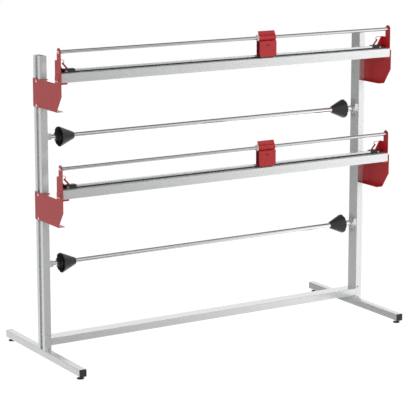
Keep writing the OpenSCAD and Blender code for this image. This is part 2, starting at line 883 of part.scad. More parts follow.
module carriage_bush(unit) {
    half = carriage_w / 2 + bush_over;
    color(nylon) at_carriage(unit) difference() {
        intersection() {
            rod_x(-half, half, wrap_r - run_gap);
            box([-carriage_w, -wrap_r - cut, web_top], [carriage_w, wrap_r + cut, wrap_r + cut]);
        }
        rod_x(-carriage_w, carriage_w, rod_d / 2 + run_gap);
    }
}

// Roll axles: a cradle has a high front horn, and is open above and to the rear, where a roll comes in
module axle_cradles() {
    trough_low = -trough_r - cradle_floor;
    trough_rear = trough_r + cradle_wall;
    color(steel) for (side = [left, right], unit = [upper, lower]) on_side(side)
        translate([post_in, 0, axle_z[unit]]) difference() {
            union() {
                box([-cradle_base, -cradle_half, -cradle_drop], [0, cradle_half, 0]);
                along_x(-cradle_l, 0) polygon([
                    [-trough_r - horn_w, -horn_drop], [-trough_r - horn_w, horn_rise],
                    [-trough_r - lead_in, horn_rise], [-trough_r, horn_rise - lead_h],
                    [-trough_r, 0], [trough_rear, 0], [trough_rear, trough_low + cradle_chamfer],
                    [trough_rear - cradle_chamfer, trough_low], [-trough_r, trough_low]
                ]);
            }
            rod_x(-cradle_l - cut, -cradle_base, trough_r);
            for (y = [-cradle_screw_y, cradle_screw_y]) translate([0, y, cradle_screw_z])
                rod_x(-cradle_base - cut, cut, m6 / 2 + thread_gap);
        }
}

module axle_bushes(unit) {
    color(nylon) for (side = [left, right]) on_side(side) translate([0, 0, axle_z[unit]]) difference() {
        rod_x(axle_end - bush_l, axle_end, bush_d / 2);
        rod_x(axle_end - bush_l - cut, axle_end + cut, axle_d / 2 + run_gap);
    }
}

module axle(unit) {
    color(steel) translate([0, 0, axle_z[unit]]) rod_x(-axle_end, axle_end, axle_d / 2);
}

// Cone about the X axis: x = 0 at its large end, which faces the post
module cone_shape() {
    ribs = 6;
    scallops = 8;
    tip_r = cone_tip_d / 2;
    big_r = cone_d / 2;
    bore_r = axle_d / 2 + run_gap;
    slope = (big_r - tip_r) / (cone_l - cone_rim);
    cavity_low = -cone_l + (hub_r + cone_wall - tip_r) / slope;
    difference() {
        rotate([0, 90, 0]) rotate_extrude($fn = 96) polygon([
            [bore_r, -cone_l], [tip_r, -cone_l], [big_r, -cone_rim], [big_r, 0], [bore_r, 0]
        ]);
        difference() {
            rotate([0, 90, 0]) rotate_extrude($fn = 96) polygon([
                [hub_r, cavity_low], [big_r - cone_wall, -cone_rim], [big_r - cone_wall, cut], [hub_r, cut]
            ]);
            for (i = [1:ribs]) rotate([360 * i / ribs, 0, 0])
                box([-cone_l, hub_r - cut, -rib_t / 2], [-cone_rim - rib_in, big_r, rib_t / 2]);
        }
        rod_x(-hub_recess, cut, hub_r + cut);
        for (i = [1:scallops]) rotate([360 * (i + 0.5) / scallops, 0, 0])
            translate([scallop_back, hub_r + scallop_rise, 0]) rotate([-90, 0, 0])
                cylinder(h = big_r, r = scallop_r);
        translate([-cone_screw_in, 0, -hub_r - cut]) cylinder(h = hub_r, d = m6 + 2 * thread_gap);
    }
}

module cone(side, unit) {
    color(black) on_side(side) translate([cone_x, 0, axle_z[unit]]) cone_shape();
}

module cone_screw(side, unit) {
    tip = axle_d / 2 + slide_gap;
    color(black) on_side(side) translate([cone_x - cone_screw_in, 0, axle_z[unit]]) {
        translate([0, 0, -hub_r - neck_h]) cylinder(h = hub_r + neck_h - tip, d = m6);
        translate([0, 0, -hub_r - neck_h - knob_h]) cylinder(h = knob_h, d = knob_d);
    }
}

foot(left);  // left_foot
foot(right);  // right_foot
foot_end_caps();
post(left);  // left_post
post(right);  // right_post
crossbar();
crossbar_bolts();
m8_screws();
m6_screws();
slot_nuts();
bracket(left, upper);  // upper_left_bracket
bracket(right, upper);  // upper_right_bracket
bracket(left, lower);  // lower_left_bracket
bracket(right, lower);  // lower_right_bracket
tower(left, upper);  // upper_left_tower
tower(right, upper);  // upper_right_tower
tower(left, lower);  // lower_left_tower
tower(right, lower);  // lower_right_tower
rail(upper);  // upper_rail
rail(lower);  // lower_rail
guide_rod(upper);  // upper_guide_rod
guide_rod(lower);  // lower_guide_rod
axle_cradles();
hold_bar(upper);  // upper_hold_bar
hold_bar(lower);  // lower_hold_bar
hold_lip(upper);  // upper_hold_lip
hold_lip(lower);  // lower_hold_lip
hold_blocks(upper);  // upper_hold_blocks
hold_blocks(lower);  // lower_hold_blocks
hold_screws(upper);  // upper_hold_screws
hold_screws(lower);  // lower_hold_screws
carriage_hook(upper);  // upper_carriage_hook
carriage_hook(lower);  // lower_carriage_hook
carriage_plate(upper);  // upper_carriage_plate
carriage_plate(lower);  // lower_carriage_plate
carriage_holder(upper);  // upper_carriage_holder
carriage_holder(lower);  // lower_carriage_holder
carriage_bush(upper);  // upper_carriage_bush
carriage_bush(lower);  // lower_carriage_bush
carriage_blade(upper);  // upper_carriage_blade
carriage_blade(lower);  // lower_carriage_blade
carriage_screw(upper);  // upper_carriage_screw
carriage_screw(lower);  // lower_carriage_screw
axle_bushes(upper);  // upper_axle_bushes
axle_bushes(lower);  // lower_axle_bushes
axle(upper);  // upper_axle
axle(lower);  // lower_axle
cone(left, upper);  // upper_left_cone
cone(right, upper);  // upper_right_cone
cone(left, lower);  // lower_left_cone
cone(right, lower);  // lower_right_cone
cone_screw(left, upper);  // upper_left_cone_screw
cone_screw(right, upper);  // upper_right_cone_screw
cone_screw(left, lower);  // lower_left_cone_screw
cone_screw(right, lower);  // lower_right_cone_screw
levelling_foot(left, front);  // left_front_levelling_foot
levelling_foot(left, rear);  // left_rear_levelling_foot
levelling_foot(right, front);  // right_front_levelling_foot
levelling_foot(right, rear);  // right_rear_levelling_foot
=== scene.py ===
"""Looks of a roll cutting stand: finishes for its solids, turned and moulded trim, and a plain studio."""
import json
import math

import bmesh
import bpy
import numpy as np
from bpy.props import FloatProperty, FloatVectorProperty, IntProperty, PointerProperty
from mathutils import Euler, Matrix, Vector

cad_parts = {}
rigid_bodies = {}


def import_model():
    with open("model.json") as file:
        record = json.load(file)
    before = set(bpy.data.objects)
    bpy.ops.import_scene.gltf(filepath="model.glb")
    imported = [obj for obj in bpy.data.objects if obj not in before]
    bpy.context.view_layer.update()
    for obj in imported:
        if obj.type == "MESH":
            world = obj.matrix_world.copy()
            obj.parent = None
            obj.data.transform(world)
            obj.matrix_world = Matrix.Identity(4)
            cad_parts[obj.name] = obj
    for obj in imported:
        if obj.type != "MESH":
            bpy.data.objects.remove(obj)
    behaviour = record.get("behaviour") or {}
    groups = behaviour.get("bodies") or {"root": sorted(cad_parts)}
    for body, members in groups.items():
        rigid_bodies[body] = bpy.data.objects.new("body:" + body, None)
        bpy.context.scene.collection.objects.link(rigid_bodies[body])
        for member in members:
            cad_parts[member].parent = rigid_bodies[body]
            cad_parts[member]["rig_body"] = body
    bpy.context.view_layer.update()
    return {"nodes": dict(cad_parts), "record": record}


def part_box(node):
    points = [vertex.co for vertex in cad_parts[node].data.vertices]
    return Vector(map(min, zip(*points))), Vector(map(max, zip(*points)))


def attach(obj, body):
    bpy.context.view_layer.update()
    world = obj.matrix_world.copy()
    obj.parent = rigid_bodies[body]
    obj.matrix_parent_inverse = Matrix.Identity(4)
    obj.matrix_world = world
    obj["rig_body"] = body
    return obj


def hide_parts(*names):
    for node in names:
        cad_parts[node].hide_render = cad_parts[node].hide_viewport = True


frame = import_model()

bl_info = {
    "name": "Roll cutting stand",
    "version": (1, 0, 0),
    "blender": (4, 5, 0),
    "location": "View3D > Sidebar > Stand",
    "description": "Finishes, trim and studio for a floor stand with two knife rails and two roll axles",
    "category": "Object",
}

SIDES = ("left", "right")
UNITS = ("upper", "lower")
AXES = {"x": 0, "y": 1, "z": 2}
UP = (0.0, 0.0, 1.0)
DOWN = (0.0, 0.0, -1.0)
WHITE = (1.0, 1.0, 1.0, 1.0)
FULL_TURN = 2 * math.pi

# How finely the turned and moulded pieces are divided, and how near their points are joined
ROUND_COLUMNS = 72
COLUMNS_PER_KNURL = 6
SCREW_ROWS_PER_PITCH = 4
STEM_ROWS_PER_PITCH = 6
RING_ROWS = 12
RIM_ROWS = 7
LIP_COLUMNS = 40
LIP_ROWS = 9
HEAD_STEP = 0.0008
SEAM_STEP = 1e-5
WELD_DISTANCE = 1e-7


def colour(name, description, default):
    """A colour that the sidebar can change."""
    return FloatVectorProperty(
        name=name, description=description, default=default, size=3, min=0.0, max=1.0, subtype="COLOR"
    )


def length(name, description, default):
    """A length in metres that the sidebar can change."""
    return FloatProperty(
        name=name, description=description, default=default, min=0.0, precision=4,
        subtype="DISTANCE", unit="LENGTH",
    )


def angle(name, description, degrees):
    """An angle that the sidebar can change."""
    return FloatProperty(
        name=name, description=description, default=math.radians(degrees), subtype="ANGLE", unit="ROTATION"
    )


def number(name, description, default):
    """A plain number that the sidebar can change."""
    return FloatProperty(name=name, description=description, default=default, min=0.0, precision=3)


def count(name, description, default, least, most):
    """A whole number that the sidebar can change."""
    return IntProperty(name=name, description=description, default=default, min=least, max=most)


def place(name, description, default):
    """A point in metres that the sidebar can change."""
    return FloatVectorProperty(
        name=name, description=description, default=default, size=3, subtype="TRANSLATION", unit="LENGTH"
    )


class StandFinishes(bpy.types.PropertyGroup):
    """Colours of the stand's finishes"""

    aluminium: colour("Aluminium", "Satin anodised profiles", (0.76, 0.77, 0.765))
    silver: colour("Silver coat", "Powder coat on the feet", (0.693, 0.702, 0.6975))
    red: colour("Red coat", "Powder coat on brackets and towers", (0.44, 0.015, 0.018))
    carriage_red: colour("Carriage red", "Powder coat on the knife carriages", (0.46, 0.016, 0.018))
    # Partly painted shade: a red coat on the clamp screws, darkened to about half the carriage red so the head
    # reads as a shaded dot
    screw_red: colour("Screw red", "Coat on the carriages' clamp screws", (0.20, 0.012, 0.012))
    rod_steel: colour("Rod steel", "Ground guide rods", (0.64, 0.645, 0.65))
    axle_steel: colour("Axle steel", "Bright roll axles", (0.86, 0.865, 0.87))
    zinc: colour("Zinc plate", "Screws, nuts and cradles", (0.68, 0.68, 0.665))
    blade_dark: colour("Blade, dark", "Grinding strokes on the knife blades", (0.55, 0.56, 0.58))
    blade_bright: colour("Blade, bright", "Steel between the strokes on the knife blades", (0.68, 0.69, 0.70))
    black: colour("Black moulding", "Cones, blocks, caps and pads", (0.022, 0.022, 0.023))
    rubber: colour("Rubber", "Lips under the hold-down bars", (0.014, 0.014, 0.014))
    nylon: colour("Nylon", "Bushes", (0.78, 0.78, 0.75))


class StandTrim(bpy.types.PropertyGroup):
    """Sizes of the turned and moulded trim"""

    knurl_count: count("Knurls", "Ridges round a thumbscrew", 24, 8, 60)
    knurl_depth: length("Knurl depth", "Depth of the ridges on a thumbscrew", 0.0006)
    screw_head: length("Screw head", "Height of a thumbscrew's head", 0.010)
    screw_stem: length("Screw stem", "Radius of a thumbscrew's stem", 0.003)
    screw_edge: length("Screw edge", "Rounding of a thumbscrew's head and bevel of its tip", 0.0012)
    screw_pitch: length("Screw pitch", "Pitch of a thumbscrew's thread", 0.001)
    screw_thread: length("Screw thread", "Depth of a thumbscrew's thread", 0.0004)
    thread_pitch: length("Thread pitch", "Pitch of the levelling stems", 0.0015)
    thread_depth: length("Thread depth", "Depth of the levelling stems' thread", 0.0008)
    stem_tip: length("Stem tip", "Height of the bevel on a levelling stem's tip", 0.001)
    pad_inset: length("Pad inset", "How far a levelling pad's sole lies inside its rim", 0.001)
    pad_bevel: length("Pad bevel", "Height of the bevel round a levelling pad's sole", 0.0015)
    pad_top: length("Pad top", "Height of a levelling pad's rim", 0.004)
    pad_cone_top: length("Pad cone top", "Height of the cone on a levelling pad", 0.009)
    pad_neck_top: length("Pad neck top", "Height of the hexagon neck above the cone", 0.012)
    pad_rings: count("Pad rings", "Rings round the cone on a levelling pad", 3, 0, 6)
    ring_depth: length("Ring depth", "Depth of the rings on a levelling pad", 0.0003)
    collar_length: length("Collar length", "Length of the collar outside a cone's large end", 0.025)
    collar_wall: length("Collar wall", "Wall of the collar round the axle", 0.004)
    collar_edge: length("Collar edge", "Rounding of the collar's rims", 0.0012)
    collar_gap: length("Collar gap", "Room between the collar and the axle, and beside the cone", 0.0004)
    lip_nose: number("Lip nose", "Share by which a rubber lip is drawn in at its nose", 0.20)
    lip_curve: number("Lip curve", "Power of the curve that draws the lip in", 0.8)
    lip_swell: number("Lip swell", "Half height of the oval that the lip is cut from, in lip heights", 0.75)


class StandStudio(bpy.types.PropertyGroup):
    """Camera and light"""

    camera_place: place("Camera place", "Where the camera stands", (-5.102, -8.304, 2.793))
    camera_turn: angle("Camera turn", "Turn of the view from straight ahead to the right", 31.575)
    camera_pitch: angle("Camera pitch", "Tilt of the view below the horizon", 10.652)
    lens: number("Lens", "Focal length in millimetres on a 36 mm sensor", 152.59)
    shift: FloatProperty(name="Shift", description="Upward lens shift, a share of the picture", default=-0.1)
    ambient: number("Ambient", "Light from all round", 0.28)
    ambient_tone: colour("Ambient tone", "Colour of the light from all round", (0.98, 0.99, 1.0))
    key: number("Key light", "Power of the softbox at the front, in watts", 180.0)
    key_place: place("Key place", "Where the softbox at the front stands", (2.4, -5.2, 3.4))
    key_size: length("Key size", "Side of the softbox at the front", 4.0)
    fill: number("Fill light", "Power of the far softbox at the left, in watts", 660.0)
    fill_place: place("Fill place", "Where the softbox at the left stands", (-13.0, -3.5, 2.2))
    fill_size: length("Fill size", "Side of the softbox at the left", 3.5)
    aim: place("Aim", "Point that both softboxes face", (0.0, 0.0, 0.9))
    wall: number("Front wall", "Brightness of the studio's front wall in reflections", 0.13)
    softbox: number("Softbox", "How much brighter the tall softbox at the front right is", 1.80)
    overhead: number("Overhead", "How much brighter the softbox above the front is", 0.62)
    back_wall: number("Back wall", "How much brighter the back wall is", 1.08)
    side_wall: number("Side wall", "How much brighter the wall at the front left is", 0.60)
    floor_glow: number("Floor glow", "How much brighter the floor is", 0.72)
    left_shade: number("Left shade", "Share by which the corner at the back left is darker", 0.95)
    ceiling_shade: number("Ceiling shade", "Share by which the ceiling is darker", 0.80)
    floor_half: length("Floor half", "Half the side of the floor", 40.0)
    floor_drop: length("Floor drop", "How far the floor lies below the feet", 0.0004)
    floor_shade: number("Floor shade", "Share of the floor's white that shadows can darken", 0.22)
    floor_grey: number("Floor grey", "Grey of the floor where it lights the stand", 0.7)


class Wire:
    """A value on its way through a material; arithmetic on it adds Math nodes."""

    def __init__(self, finish, socket):
        self.finish = finish
        self.socket = socket

    def math(self, operation, first, second):
        return self.finish.node("ShaderNodeMath", {"operation": operation}, {0: first, 1: second})

    def __add__(self, other):
        return self.math("ADD", self, other)

    def __radd__(self, other):
        return self.math("ADD", other, self)

    def __sub__(self, other):
        return self.math("SUBTRACT", self, other)

    def __rsub__(self, other):
        return self.math("SUBTRACT", other, self)

    def __mul__(self, other):
        return self.math("MULTIPLY", self, other)

    def __rmul__(self, other):
        return self.math("MULTIPLY", other, self)

    def larger(self, other):
        """The larger of two values."""
        return self.math("MAXIMUM", self, other)

    def above(self, low, high):
        """0 below low, 1 above high, smooth between."""
        return self.finish.node(
            "ShaderNodeMapRange", {"interpolation_type": "SMOOTHSTEP"},
            {"Value": self, "From Min": low, "From Max": high},
        )


class NodeSet:
    """Adds nodes to one node tree and joins them."""

    def __init__(self, tree):
        self.tree = tree
        self.tree.nodes.clear()

    def feed(self, socket, value):
        """Links a wire to a socket, or sets the socket's own value."""
        if isinstance(value, Wire):
            self.tree.links.new(value.socket, socket)
        else:
            socket.default_value = value

    def add(self, kind, settings=(), sockets=()):
        """Adds a node with its settings, then feeds its sockets."""
        made = self.tree.nodes.new(kind)
        for key, value in dict(settings).items():
            setattr(made, key, value)
        for key, value in dict(sockets).items():
            self.feed(made.inputs[key], value)
        return made

    def node(self, kind, settings=(), sockets=(), output=0):
        """Adds a node and gives one of its outputs as a wire."""
        return Wire(self, self.add(kind, settings, sockets).outputs[output])

    def mix(self, share, first, second):
        """Mixes two shaders by a share from 0 to 1."""
        return self.node("ShaderNodeMixShader", sockets={0: share, 1: first, 2: second})


class Finish(NodeSet):
    """A material with one Principled surface, patterned on Object coordinates."""

    def __init__(self, name):
        self.material = bpy.data.materials.new(name)
        self.material.use_nodes = True
        super().__init__(self.material.node_tree)
        self.surface = self.add("ShaderNodeBsdfPrincipled")
        self.add("ShaderNodeOutputMaterial", sockets={0: Wire(self, self.surface.outputs[0])})

    def set(self, sockets):
        """Feeds sockets of the surface."""
        for key, value in sockets.items():
            self.feed(self.surface.inputs[key], value)

    def noise(self, sizes, detail=2.0):
        """Cloud noise from 0 to 1 whose blots are about sizes metres along X, Y and Z."""
        here = self.node("ShaderNodeTexCoord", output=3)
        scaled = self.node(
            "ShaderNodeMapping", {"vector_type": "POINT"}, {"Vector": here, "Scale": [1.0 / s for s in sizes]}
        )
        return self.node(
            "ShaderNodeTexNoise", {"noise_dimensions": "3D"},
            {"Vector": scaled, "Scale": 1.0, "Detail": detail, "Roughness": 0.5},
        )

    def blend(self, share, first, second):
        """Mixes two colours by a share from 0 to 1."""
        return self.node(
            "ShaderNodeMix", {"data_type": "RGBA"}, {0: share, 6: (*first, 1.0), 7: (*second, 1.0)}, output=2
        )

    def shades(self, share, base, darkest, lightest):
        """A colour that wanders between two tints of itself by a share from 0 to 1."""
        return self.blend(share, tint(base, darkest), tint(base, lightest))

    def relief(self, height, depth, strength):
        """Turns a height from 0 to 1 into bumps of the given depth."""
        self.set({"Normal": self.node(
            "ShaderNodeBump", sockets={"Strength": strength, "Distance": depth, "Height": height}
        )})


def tint(base, factor):
    """A colour made lighter or darker by a factor."""
    return tuple(min(1.0, c * factor) for c in base)


def evenly(size):
    """Blots of one size in all directions."""
    return [size] * 3


def lengthwise(axis, run, width):
    """Blots of one size along an axis and another across it."""
    sizes = evenly(width)
    sizes[AXES[axis]] = run
    return sizes


def anodised(name, base, axis):
    """Satin anodised extrusion: fine die lines along the profile, soft streaks and a little haze."""
    f = Finish(name)
    lines = f.noise(lengthwise(axis, 0.9, 0.0005), detail=3.0)
    streaks = f.noise(lengthwise(axis, 1.6, 0.010))
    haze = f.noise(evenly(0.16))
    f.set({
        "Base Color": f.shades(streaks * 0.7 + lines * 0.3, base, 0.94, 1.06),
        "Metallic": 0.60,
        "Roughness": 0.20 + lines * 0.07 + haze * 0.02,
    })
    f.relief(lines, 0.00004, 0.15)
    return f.material


def powder_coat(name, base, metallic, roughness):
    """Powder coat: even colour with slow drift, orange-peel relief and small glossy nibs."""
    f = Finish(name)
    peel = f.noise(evenly(0.0022), detail=3.0)
    drift = f.noise(evenly(0.22))
    nibs = f.noise(evenly(0.006), detail=1.0).above(0.62, 0.74)
    f.set({
        "Base Color": f.shades(drift * 0.75 + peel * 0.25, base, 0.93, 1.07),
        "Metallic": metallic,
        "Roughness": roughness + peel * 0.12 - nibs * 0.05,
    })
    f.relief(peel, 0.00009, 0.35)
    return f.material


def ground_bar(name, base, axis):
    """Ground and polished bar: rings of grinding marks round it and faint handling streaks along it."""
    f = Finish(name)
    rings = f.noise(lengthwise(axis, 0.0006, 0.02), detail=3.0)
    handling = f.noise(lengthwise(axis, 0.35, 0.02))
    f.set({
        "Base Color": f.shades(rings * 0.5 + handling * 0.5, base, 0.95, 1.05),
        "Metallic": 1.0,
        "Roughness": 0.10 + rings * 0.06 + handling.above(0.55, 0.8) * 0.06,
    })
    f.relief(rings, 0.00002, 0.2)
    return f.material


def zinc_plate(name, base):
    """Bright zinc plate: faint cloudy bloom over a fine matt grain."""
    f = Finish(name)
    bloom = f.noise(evenly(0.012), detail=4.0)
    grain = f.noise(evenly(0.0007))
    f.set({
        "Base Color": f.shades(bloom, base, 0.92, 1.08),
        "Metallic": 1.0,
        "Roughness": 0.24 + bloom * 0.12 + grain * 0.06,
    })
    f.relief(grain, 0.00003, 0.2)
    return f.material


def moulding(name, base, roughness, grain_size):
    """Moulded plastic: spark-eroded grain, flow haze and slightly polished high spots."""
    f = Finish(name)
    grain = f.noise(evenly(grain_size))
    flow = f.noise(lengthwise("y", 0.05, 0.03), detail=3.0)
    f.set({
        "Base Color": f.shades(flow * 0.6 + grain * 0.4, base, 0.8, 1.25),
        "Roughness": roughness + flow * 0.12 - grain.above(0.55, 0.75) * 0.10,
    })
    f.relief(grain, 0.00008, 0.4)
    return f.material


def rubber(name, base):
    """Extruded rubber: dull, with drag lines along it and a dusting of bloom."""
    f = Finish(name)
    drag = f.noise(lengthwise("x", 0.25, 0.0008))
    bloom = f.noise(lengthwise("x", 0.05, 0.02), detail=4.0).above(0.45, 0.8)
    f.set({
        "Base Color": f.shades(bloom * 0.5 + drag * 0.2, base, 1.0, 2.2),
        "Roughness": 0.68 + bloom * 0.14,
    })
    f.relief(drag, 0.00006, 0.35)
    return f.material


def blade_steel(name, dark, bright):
    """Ground blade: grinding strokes run down to the edge."""
    f = Finish(name)
    strokes = f.noise((0.0006, 0.01, 0.02), detail=3.0)
    f.set({
        "Base Color": f.blend(strokes, dark, bright),
        "Metallic": 1.0,
        "Roughness": 0.18 + strokes * 0.14,
    })
    f.relief(strokes, 0.00002, 0.25)
    return f.material


def nodes_in(slot):
    """The frame's nodes that the record gives a material slot."""
    return [s["node"] for s in frame["record"]["subparts"] if s["material_slot"] == slot]


def dress(node_names, material):
    """Puts a finish on nodes of the frame."""
    for name in node_names:
        slots = frame["nodes"][name].data.materials
        slots.clear()
        slots.append(material)


def along(node_names, axis):
    """Those nodes whose longest side lies on an axis."""
    chosen = []
    for name in node_names:
        low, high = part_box(name)
        sides = list(high - low)
        if sides.index(max(sides)) == AXES[axis]:
            chosen.append(name)
    return chosen


def new_object(name, data):
    """Adds an object to the scene."""
    made = bpy.data.objects.new(name, data)
    bpy.context.scene.collection.objects.link(made)
    return made


def surface_piece(name, points, material, sharp=35.0):
    """Makes a closed piece from a grid of points, with edges sharp past an angle in degrees.

    The columns go round. The first and last rows each close at a point, or they are one row and join.
    """
    rows, columns = points.shape[:2]
    index = np.arange(rows * columns).reshape(rows, columns)
    here, there = index[:-1], index[1:]
    faces = np.stack([here, np.roll(here, -1, 1), np.roll(there, -1, 1), there], -1).reshape(-1, 4)
    mesh = bpy.data.meshes.new(name)
    mesh.from_pydata(points.reshape(-1, 3).tolist(), [], faces.tolist())
    work = bmesh.new()
    work.from_mesh(mesh)
    bmesh.ops.remove_doubles(work, verts=work.verts, dist=WELD_DISTANCE)
    bmesh.ops.recalc_face_normals(work, faces=work.faces)
    work.to_mesh(mesh)
    work.free()
    mesh.shade_smooth()
    mesh.set_sharp_from_angle(angle=math.radians(sharp))
    mesh.materials.append(material)
    return new_object(name, mesh)


def stand_for(piece, node):
    """Lets a new piece take a node's place on the body that the node rides on."""
    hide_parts(node)
    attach(piece, frame["nodes"][node]["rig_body"])


def spread(stations, per_step):
    """Fills in heights between stations, so that no step is longer than per_step."""
    stations = np.asarray(stations, float)
    counts = np.maximum(1, np.ceil(np.abs(np.diff(stations)) / per_step)).astype(int)
    parts = [np.linspace(a, b, n, endpoint=False) for a, b, n in zip(stations[:-1], stations[1:], counts)]
    return np.concatenate([*parts, stations[-1:]])


def around(columns):
    """Angles of evenly spaced columns round an axis."""
    return np.linspace(0, FULL_TURN, columns, endpoint=False)


def turned(middle, radius, theta, height):
    """Points on an upright axis through a middle: a radius at each angle and height."""
    return np.stack([middle.x + radius * np.cos(theta), middle.y + radius * np.sin(theta), height], -1)


def hexagon(theta, across):
    """Radius of a hexagon at each angle: half its width across flats over the cosine of the angle from a flat."""
    from_flat = np.mod(theta, math.pi / 3) - math.pi / 6
    return across / 2 / np.cos(from_flat)


def thread(theta, height, pitch):
    """Height of a thread's flank: even slopes from 0 at a root to 1 at a crest, climbing one pitch a turn."""
    turn = np.mod(height / pitch - theta / FULL_TURN, 1.0)
    return 1.0 - np.abs(2.0 * turn - 1.0)


def thumbscrew(node, trim, material):
    """Knurled thumbscrew under a cone's hub, as a radius over angle and height.

    The head's radius loses a cosine ridge for each knurl and a quarter circle at both rims. The stem's radius
    loses the depth of a thread, and ends in a bevelled tip.
    """
    low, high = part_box(node)
    middle = (low + high) / 2
    head_r = (high.x - low.x) / 2
    stem_r = trim.screw_stem
    edge = trim.screw_edge
    bottom, top = low.z, high.z
    shoulder = bottom + trim.screw_head
    grip = spread([bottom + edge, shoulder - edge], HEAD_STEP)
    climb = spread([shoulder + SEAM_STEP, top - edge], trim.screw_pitch / SCREW_ROWS_PER_PITCH)
    heights = np.concatenate([[bottom, bottom], grip, [shoulder, shoulder], climb, [top, top]])
    h, t = np.meshgrid(heights, around(COLUMNS_PER_KNURL * trim.knurl_count), indexing="ij")
    knurl = trim.knurl_depth * 0.5 * (1 + np.cos(trim.knurl_count * t))
    into_rim = np.minimum(0, np.minimum(h - bottom, shoulder - h) - edge)
    rounding = edge - np.sqrt(np.maximum(0, edge ** 2 - into_rim ** 2))
    head = head_r - knurl - rounding
    stem = stem_r - trim.screw_thread * (1 - thread(t, h, trim.screw_pitch))
    radius = np.where(h <= shoulder, head, stem)
    radius[0] = 0
    radius[len(grip) + 3] = stem_r - trim.screw_thread
    radius[-2] = stem_r - edge
    radius[-1] = 0
    piece = surface_piece(node + "_knurled", turned(middle, radius, t, h), material)
    stand_for(piece, node)


def levelling_foot(node, trim, material):
    """Levelling foot, as a radius over angle and height.

    A pad with a bevelled sole, then a cone whose radius falls evenly to half less a cosine for each ring, then a
    hexagon neck, then a stem whose radius loses the depth of a thread.
    """
    low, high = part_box(node)
    middle = (low + high) / 2
    pad_r = (high.x - low.x) / 2
    stem_r = pad_r / 4
    neck_corners = stem_r * 1.7
    neck_flats = neck_corners * math.cos(math.pi / 6)
    pad_top, cone_top, neck_top = trim.pad_top, trim.pad_cone_top, trim.pad_neck_top
    pad = [(0.0, 0.0), (0.0, pad_r - trim.pad_inset), (trim.pad_bevel, pad_r), (pad_top, pad_r)]
    steps = np.linspace(0, 1, RING_ROWS)[1:]
    ring = trim.ring_depth * 0.5 * (1 - np.cos(FULL_TURN * trim.pad_rings * steps))
    cone = np.stack([pad_top + (cone_top - pad_top) * steps, pad_r - pad_r / 2 * steps - ring], -1)
    body = np.concatenate([pad, cone])
    climb = spread([neck_top, high.z - trim.stem_tip], trim.thread_pitch / STEM_ROWS_PER_PITCH)
    heights = np.concatenate([body[:, 0], [cone_top, neck_top], climb, [high.z, high.z]])
    theta = around(ROUND_COLUMNS)
    h, t = np.meshgrid(heights, theta, indexing="ij")
    radius = stem_r - trim.thread_depth * (1 - thread(t, h, trim.thread_pitch))
    radius[:len(body)] = body[:, 1:]
    radius[len(body):len(body) + 2] = hexagon(theta, neck_flats)
    radius[-2] = stem_r - trim.thread_depth
    radius[-1] = 0
    piece = surface_piece(node + "_threaded", turned(middle, radius, t, h), material)
    stand_for(piece, node)


def cone_collar(unit, side, trim, material):
    """Collar outside a cone's large end: a ring's closed outline with rounded rims, carried round the axle."""
    cone = f"{unit}_{side}_cone"
    low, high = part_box(cone)
    axle_low, axle_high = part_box(f"{unit}_axle")
    middle = (axle_low + axle_high) / 2
    bore = (axle_high.z - axle_low.z) / 2 + trim.collar_gap
    rim = bore + trim.collar_wall
    far = trim.collar_length
    edge = trim.collar_edge
    arc = np.linspace(0, math.pi / 2, RIM_ROWS)
    outline = np.concatenate([
        [[0, bore]],
        np.stack([edge - edge * np.cos(arc), rim - edge + edge * np.sin(arc)], -1),
        np.stack([far - edge + edge * np.sin(arc), rim - edge + edge * np.cos(arc)], -1),
        [[far, bore], [0, bore]],
    ])
    theta = around(ROUND_COLUMNS)
    outward = -1.0 if side == "left" else 1.0
    mouth = low.x if side == "left" else high.x
    x = np.broadcast_to(mouth + outward * (trim.collar_gap + outline[:, :1]), (len(outline), len(theta)))
    radius = outline[:, 1:]
    points = np.stack([x, middle.y + radius * np.cos(theta), middle.z + radius * np.sin(theta)], -1)
    piece = surface_piece(cone + "_collar", points, material)
    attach(piece, frame["nodes"][cone]["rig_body"])


def lip_strip(node, trim, material):
    """Rubber lip: one closed outline carried along X, with each end closed at its middle.

    The outline is a tall oval, cut flat above and below. Its lower half is drawn in towards the nose by a power
    of the cosine.
    """
    low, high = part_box(node)
    depth, tall = high.y - low.y, high.z - low.z
    u = around(LIP_COLUMNS)
    drawn_in = np.where(np.sin(u) < 0, 1.0 - np.abs(np.cos(u)) ** trim.lip_curve, 0.0)
    across = low.y + depth / 2 + depth / 2 * np.cos(u) * (1.0 - trim.lip_nose * drawn_in)
    up = low.z + tall * np.clip(0.5 + trim.lip_swell * np.sin(u), 0.0, 1.0)
    stations = np.concatenate([[low.x], np.linspace(low.x, high.x, LIP_ROWS), [high.x]])
    points = np.empty((len(stations), len(u), 3))
    points[..., 0] = stations[:, None]
    points[..., 1] = across
    points[..., 2] = up
    points[[0, -1], :, 1:] = points[0, :, 1:].mean(0)
    piece = surface_piece(node + "_strip", points, material, sharp=50.0)
    stand_for(piece, node)


class StandOperator:
    """What the stand's operators share."""

    bl_options = {"REGISTER", "UNDO"}

    def execute(self, context):
        self.make(context.scene)
        return {"FINISHED"}


class STAND_OT_profiles(StandOperator, bpy.types.Operator):
    """Anodised finish on posts, crossbar, rails and hold-down bars"""

    bl_idname = "stand.profiles"
    bl_label = "Aluminium profiles"

    def make(self, scene):
        nodes = nodes_in("aluminium")
        for axis in ("x", "z"):
            material = anodised("anodised_along_" + axis, scene.stand_finishes.aluminium, axis)
            dress(along(nodes, axis), material)


class STAND_OT_feet(StandOperator, bpy.types.Operator):
    """Silver powder coat on the feet"""

    bl_idname = "stand.feet"
    bl_label = "Feet"

    def make(self, scene):
        dress(nodes_in("silver_paint"), powder_coat("silver_coat", scene.stand_finishes.silver, 0.62, 0.17))


